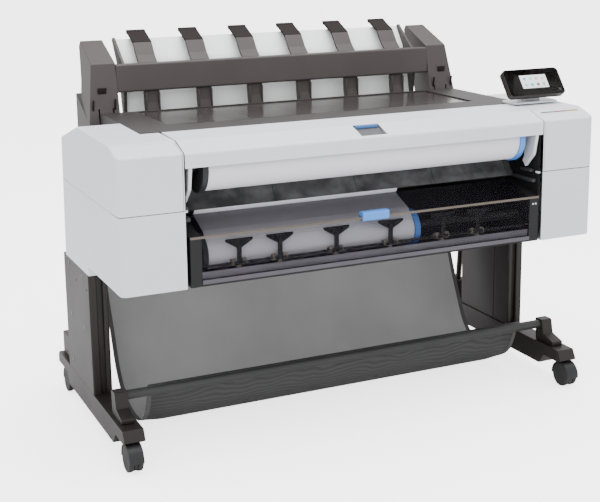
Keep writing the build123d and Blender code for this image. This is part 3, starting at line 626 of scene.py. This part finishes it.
paper_lip = block("paper_lip", (-0.462, -0.2600, 0.6335), (0.128, -0.2590, 0.6450), paper_white, "drawer",
                  width=0.0003)
tilted(paper_lip, math.radians(-24), (0, -0.2595, 0.634))
# Painted reflection: a thin purple-grey band over the curved foot of the pane stands in for what that curve
# reflects.
reflection_grey = moulded("reflection_grey", (0.20, 0.185, 0.22), (0.17, 0.16, 0.19), rough=(0.35, 0.5), drift=5.0)
block("drawer_reflection_band", (-0.485, -0.3755, 0.4925), (0.485, -0.3740, 0.5115), reflection_grey, "drawer",
      width=0.0005)
block("drawer_back_panel", (-0.4855, -0.2385, 0.4810), (0.4855, -0.2365, 0.6270), wall_black, "drawer",
      width=0.0006)
trim_smoke = moulded("trim_smoke", (0.085, 0.078, 0.095), (0.072, 0.066, 0.082), rough=(0.2, 0.3),
                     drift=4.0, depth=0.02)
block("drawer_trim", (-0.486, -0.3828, 0.4815), (0.486, -0.3815, 0.4925), trim_smoke, "drawer",
      width=0.0004)
marker_white = moulded("marker_white", (0.55, 0.55, 0.56), (0.50, 0.50, 0.51), rough=(0.4, 0.5))
for index in range(2):
    turned(f"drawer_marker_{index + 1}", (0.496 + 0.009 * index, -0.3824, 0.584), 0.0028, 0.0010,
           marker_white, "drawer", slot_of_node["drawer_frame"], axis="Y", rim=0.0002)

rail_grey = moulded("rail_grey", (0.036, 0.036, 0.038), (0.030, 0.030, 0.032), rough=(0.4, 0.55))
for side, inner, outer in (("left", -0.519, -0.506), ("right", 0.506, 0.519)):
    block("drawer_rail_" + side, (inner, -0.362, 0.640), (outer, -0.262, 0.650), rail_grey, "frame",
          width=0.0015)
    block("bay_guide_" + side, (inner, -0.350, 0.668), (outer, -0.300, 0.676), rail_grey, "frame",
          width=0.0015)

# ------------------------------------------------------------------ pinch arms
# Each arm is a black moulded fan with upright ribs. At its foot run small brass-coloured wheels,
# two beside the stem and one below it, which press the paper to the lower roll. All hang on one thin rod.
finish_node("pinch_arms", wall_black)
wheel_brass = moulded("wheel_brass", (0.21, 0.185, 0.145), (0.15, 0.13, 0.105), rough=(0.35, 0.5), drift=30.0)
rib_black = moulded("rib_black", (0.014, 0.014, 0.015), (0.010, 0.010, 0.011), rough=(0.35, 0.5))
rod_y, rod_z = -0.372, 0.524
drawer_half = 0.486
pinch_slot = slot_of_node["pinch_arms"]


def fan_part(name, arm_x, low, high, width=0.0008):
    """Part of a fan, between two corners given from where the arm meets the rod."""
    foot = Vector((arm_x, rod_y, rod_z))
    return block(name, foot + Vector(low), foot + Vector(high), rib_black, "pinch", width=width)


def on_rod(name, x, behind, above, radius, length, material, **shape):
    """Small round piece on the rod or just beside it."""
    turned(name, (x, rod_y + behind, rod_z + above), radius, length, material, "pinch", pinch_slot, **shape)


for number, share in enumerate((-0.79, -0.56, -0.23, 0.10, 0.43, 0.66), start=1):
    arm_x = share * drawer_half
    parts = []
    for step in range(-3, 4):
        rib_x = 0.0095 * step
        foot_z = 0.0425 + 0.0042 * abs(step)
        parts.append(fan_part("fan_rib", arm_x, (rib_x - 0.0013, -0.0037, foot_z),
                              (rib_x + 0.0013, -0.001, 0.0615), width=0.0004))
    parts.append(fan_part("fan_stem", arm_x, (-0.0058, -0.0036, 0.004), (0.0058, 0.002, 0.050)))
    parts.append(fan_part("fan_lip", arm_x, (-0.0365, -0.0036, 0.0585), (0.0365, 0.004, 0.0625)))
    joined(f"pinch_fan_{number}", parts)
    for side, sign in (("left", -1), ("right", 1)):
        on_rod(f"pinch_wheel_{number}_{side}", arm_x + sign * 0.015, 0.0058, 0.0, 0.0088, 0.011, wheel_brass,
               rim=0.0012, dish=0.001, vertices=32)
        on_rod(f"pinch_collar_{number}_{side}", arm_x + sign * 0.034, 0.0, 0.0, 0.0042, 0.005, rib_black,
               rim=0.0006, vertices=24)
    on_rod(f"pinch_idler_{number}", arm_x, 0.0058, -0.0115, 0.0052, 0.013, wheel_brass, rim=0.0008,
           vertices=32)

# ------------------------------------------------------------------ control panel
# Black moulded housing with a gloss front, which tilts on a white pedestal screwed to the right cover.
# The screen is lit from behind and shows eight plain round tiles.
panel_black = moulded("panel_black", (0.026, 0.019, 0.018), (0.021, 0.016, 0.015), rough=(0.3, 0.4))
softened("panel_body", panel_black, 0.001)
panel_gloss = moulded("panel_gloss", (0.009, 0.009, 0.009), (0.006, 0.006, 0.006), rough=(0.10, 0.20),
                      depth=0.0, gloss=0.6)
finish_node("panel_glass", panel_gloss)
finish_node("power_button", panel_gloss)
softened("panel_pedestal", cover_white, 0.001)

panel_out = Vector((0, -0.7986, 0.6018))
panel_up = Vector((0, 0.6018, 0.7986))
panel_slope = math.atan2(panel_up.z, panel_up.y)
glass_face = max(corner.co.dot(panel_out) for corner in frame["nodes"]["panel_glass"].data.vertices)
glass_low, glass_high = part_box("panel_glass")
glass_middle = (Vector(glass_low) + Vector(glass_high)) / 2
glass_middle += panel_out * (glass_face - glass_middle.dot(panel_out))


def lit(name, colour, strength):
    """Lit part of the screen: a slight unevenness of the backlight over a flat colour."""
    material, tree, shader = new_material(name, colour, 0.15)
    shader.inputs["Emission Color"].default_value = (*colour, 1)
    uneven = ranged(tree, noise(tree, place_on(tree), 25.0), strength * 0.9, strength * 1.1)
    tree.links.new(uneven, shader.inputs["Emission Strength"])
    return material


def on_panel(piece, across, up, lift):
    """Lays a piece modelled flat at the origin on the face of the panel."""
    place = glass_middle + Vector((1, 0, 0)) * across + panel_up * up + panel_out * lift
    tilted(piece, -panel_slope, (0, 0, 0), place)


screen_glow = lit("screen_glow", (0.66, 0.70, 0.71), 0.26)
screen = block("panel_screen", (-0.045, -0.0215, -0.0003), (0.045, 0.0215, 0.0003), screen_glow, "panel",
               width=0.0002)
on_panel(screen, 0.0, 0.001, 0.0002)
tile_colours = (((0.10, 0.35, 0.62), (0.42, 0.52, 0.50), (0.55, 0.36, 0.38), (0.50, 0.50, 0.50)),
                ((0.40, 0.42, 0.42), (0.03, 0.34, 0.42), (0.16, 0.10, 0.16), (0.28, 0.34, 0.32)))
for row, colours in enumerate(tile_colours):
    for column, colour in enumerate(colours):
        place = f"{row + 1}_{column + 1}"
        tile = turned("screen_tile_" + place, (0, 0, 0), 0.0050, 0.0004, lit("tile_" + place, colour, 0.2),
                      "panel", slot_of_node["panel_glass"], axis="Z", rim=0.0001, vertices=24)
        on_panel(tile, 0.0205 * (column - 1.5), 0.0110 - 0.0200 * row, 0.0007)

# ------------------------------------------------------------------ inside
# Folded steel chassis, platen and rail, and a ground steel feed roller, screwed between the end walls.
# The carriage and its belt, the service station, the electronics box, the inlet and the cartridges are black.
steel_grey = moulded("steel_grey", (0.42, 0.42, 0.43), (0.36, 0.36, 0.37), rough=(0.28, 0.45), drift=12.0,
                     metallic=1.0)
for node in ("chassis_base", "platen", "carriage_rail", "feed_roller"):
    finish_node(node, steel_grey)
for node in ("carriage", "service_station", "electronics_box", "power_inlet", "belt_pulley", "carriage_belt",
             "ink_cartridges"):
    finish_node(node, wall_black)

# ------------------------------------------------------------------ catch bin cloth
# Open grey mesh, one length hung from the rear tube and brought forward under the body to the front bar.
# Its sides are bound with tape, the rear end is a sleeve on the tube and a strip clamps the front end.
bin_half = 0.585
bin_line = ((-0.200, 0.168), (-0.183, 0.090), (-0.124, 0.030), (-0.040, 0.0155), (0.042, 0.031),
            (0.103, 0.090), (0.147, 0.190), (0.193, 0.300), (0.226, 0.392))


def smooth_line(points):
    """Evenly curved line past a few points of (y, z)."""
    data = bpy.data.curves.new("line", "CURVE")
    data.dimensions = "3D"
    spline = data.splines.new("NURBS")
    spline.points.add(len(points) - 1)
    for point, (y, z) in zip(spline.points, points):
        point.co = (0, y, z, 1)
    spline.order_u = 3
    spline.use_endpoint_u = True
    spline.resolution_u = 8
    line = bpy.data.objects.new("line", data)
    places = [corner.co.copy() for corner in bpy.data.meshes.new_from_object(line).vertices]
    bpy.data.objects.remove(line)
    return places


line = smooth_line(bin_line)
last = len(line) - 1
cloth_length = sum((b - a).length for a, b in zip(line, line[1:]))


def hang_of(across, along):
    """How far the cloth lies off its line, from its own slack and from its edges curling in."""
    wave = 0.0016 * math.sin(9 * across + 7 * along) + 0.0011 * math.sin(23 * across - 11 * along)
    wave += 0.0014 * math.sin(26 * along + 2.2 * across)
    curl = 0.010 * max(abs(across) / bin_half - 0.90, 0) / 0.10
    rear = min(max((along - 0.45) / 0.15, 0), 1)
    return (wave * rear + curl) * math.sin(math.pi * along)


def hung(name, x0, x1, columns, thickness, materials):
    """Sheet hung along the line between two places on X, with the slight waves of its own slack."""
    bpy.ops.object.select_all(action="DESELECT")
    bpy.ops.mesh.primitive_grid_add(x_subdivisions=columns, y_subdivisions=last, size=1, calc_uvs=True)
    piece = bpy.context.active_object
    piece.name = name
    for corner in piece.data.vertices:
        across = x0 + (corner.co.x + 0.5) * (x1 - x0)
        index = round((corner.co.y + 0.5) * last)
        before, after = line[max(index - 1, 0)], line[min(index + 1, last)]
        inward = Vector((1, 0, 0)).cross(after - before).normalized()
        corner.co = line[index] + Vector((across, 0, 0)) + inward * hang_of(across, index / last)
    pick(piece)
    wall = piece.modifiers.new("wall", "SOLIDIFY")
    wall.thickness = thickness
    wall.offset = 0
    wall.material_offset = len(materials) - 1
    for material in materials:
        piece.data.materials.append(material)
    bpy.ops.object.modifier_apply(modifier="wall")
    bpy.ops.object.shade_smooth_by_angle(angle=math.radians(60))
    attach(piece, "frame")
    return piece


def mesh_cloth(name, thread, shade, opening, moire):
    """Open woven mesh on the cloth's own map: threads both ways, openings between them, cloudy tone."""
    material, tree, shader = new_material(name, thread, 0.8)
    sized = add(tree, "ShaderNodeMapping")
    sized.inputs["Scale"].default_value = (2 * bin_half, cloth_length, 1)
    tree.links.new(add(tree, "ShaderNodeUVMap").outputs["UV"], sized.inputs["Vector"])
    threads = add(tree, "ShaderNodeMath", operation="MAXIMUM")
    for socket, direction in enumerate("XY"):
        weave = add(tree, "ShaderNodeTexWave", wave_type="BANDS", bands_direction=direction)
        weave.inputs["Scale"].default_value = 190
        tree.links.new(sized.outputs["Vector"], weave.inputs["Vector"])
        tree.links.new(weave.outputs["Fac"], threads.inputs[socket])
    tree.links.new(ranged(tree, threads.outputs["Value"], opening, 1.0, 0.35, 0.65), shader.inputs["Alpha"])
    bump = add(tree, "ShaderNodeBump")
    bump.inputs["Strength"].default_value = 0.25
    bump.inputs["Distance"].default_value = 0.0003
    tree.links.new(threads.outputs["Value"], bump.inputs["Height"])
    tree.links.new(bump.outputs["Normal"], shader.inputs["Normal"])
    if moire:
        bands = add(tree, "ShaderNodeTexWave", wave_type="BANDS", bands_direction="Y")
        bands.inputs["Scale"].default_value = 24
        bands.inputs["Distortion"].default_value = 14
        bands.inputs["Detail"].default_value = 1.5
        bands.inputs["Detail Scale"].default_value = 0.35
        tree.links.new(sized.outputs["Vector"], bands.inputs["Vector"])
        pattern = bands.outputs["Fac"]
    else:
        pattern = noise(tree, sized.outputs["Vector"], 5.0, detail=5)
    tone = add(tree, "ShaderNodeMix", data_type="RGBA")
    tone.inputs["A"].default_value = (*shade, 1)
    tone.inputs["B"].default_value = (*thread, 1)
    tree.links.new(ranged(tree, pattern, 0.0, 1.0, 0.3, 0.7), tone.inputs["Factor"])
    tree.links.new(tone.outputs["Result"], shader.inputs["Base Color"])
    return material


# Painted shade: the outer faces of the mesh take a much darker grey than the inner ones, for the shade on the
# side that turns away from the overhead light.
mesh_inside = mesh_cloth("mesh_inside", (0.36, 0.36, 0.36), (0.31, 0.31, 0.31), 0.80, False)
mesh_outside_shaded = mesh_cloth("mesh_outside_shaded", (0.046, 0.046, 0.046), (0.030, 0.030, 0.030), 0.88, True)
tape_grey = moulded("tape_grey", (0.10, 0.10, 0.10), (0.08, 0.08, 0.08), rough=(0.7, 0.85), grain=700.0,
                    depth=0.3)
tape_width = 0.012
cloth = hung("bin_cloth", -bin_half, bin_half, 90, 0.0012, (mesh_inside, mesh_outside_shaded))
tapes = [hung("bin_tape_left", -bin_half, -bin_half + tape_width, 2, 0.0026, (tape_grey,)),
         hung("bin_tape_right", bin_half - tape_width, bin_half, 2, 0.0026, (tape_grey,))]
tube_y, tube_z = 0.238, 0.395
sleeve = turned("bin_sleeve", (0, tube_y, tube_z), 0.0102, 2 * bin_half, tape_grey, "frame",
                slot_of_node["bin_fabric"])
block("bin_clamp_strip", (-bin_half, -0.2070, 0.150), (bin_half, -0.1995, 0.172), rod_grey, "frame")
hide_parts("bin_fabric")

# ------------------------------------------------------------------ screws and louvres
# Zinc screws with pressed heads hold the leg panels and the rear cover.
# The electronics breathe through two rows of louvres moulded in the rear cover.
screw_steel = moulded("screw_steel", (0.20, 0.20, 0.20), (0.14, 0.14, 0.14), rough=(0.3, 0.45), drift=40.0,
                      metallic=1.0)


def screw(name, centre, height, node, axis):
    """Head of a screw on a face of a CAD node."""
    turned(name, centre, 0.0048, height, screw_steel, "frame", slot_of_node[node], axis=axis, rim=0.0004,
           dish=0.0005, vertices=24)


leg_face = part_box("legs")[1][0]
for side, sign in (("left", -1), ("right", 1)):
    for row, screw_z in enumerate((0.145, 0.285, 0.432)):
        for column, screw_y in enumerate((0.004, 0.150)):
            screw(f"leg_screw_{side}_{row + 1}_{column + 1}", (sign * (leg_face + 0.0001), screw_y, screw_z),
                  0.0016, "legs", "X")
rear_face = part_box("rear_cover")[1][1]
for row, screw_z in enumerate((0.475, 0.640, 0.805)):
    for column in range(4):
        screw(f"rear_screw_{row + 1}_{column + 1}", (-0.495 + 0.33 * column, rear_face + 0.0006, screw_z),
              0.0018, "rear_cover", "Y")
louvre_pitch = 0.013
louvre_count = 46
for row, vent_z in enumerate((0.540, 0.720)):
    fin = block(f"rear_louvres_{row + 1}", (-0.30, rear_face - 0.001, vent_z),
                (-0.294, rear_face + 0.004, vent_z + 0.055), rear_dark, "frame")
    pick(fin)
    spread = fin.modifiers.new("spread", "ARRAY")
    spread.count = louvre_count
    spread.use_relative_offset = False
    spread.use_constant_offset = True
    spread.constant_offset_displace = (louvre_pitch, 0, 0)
    bpy.ops.object.modifier_apply(modifier="spread")
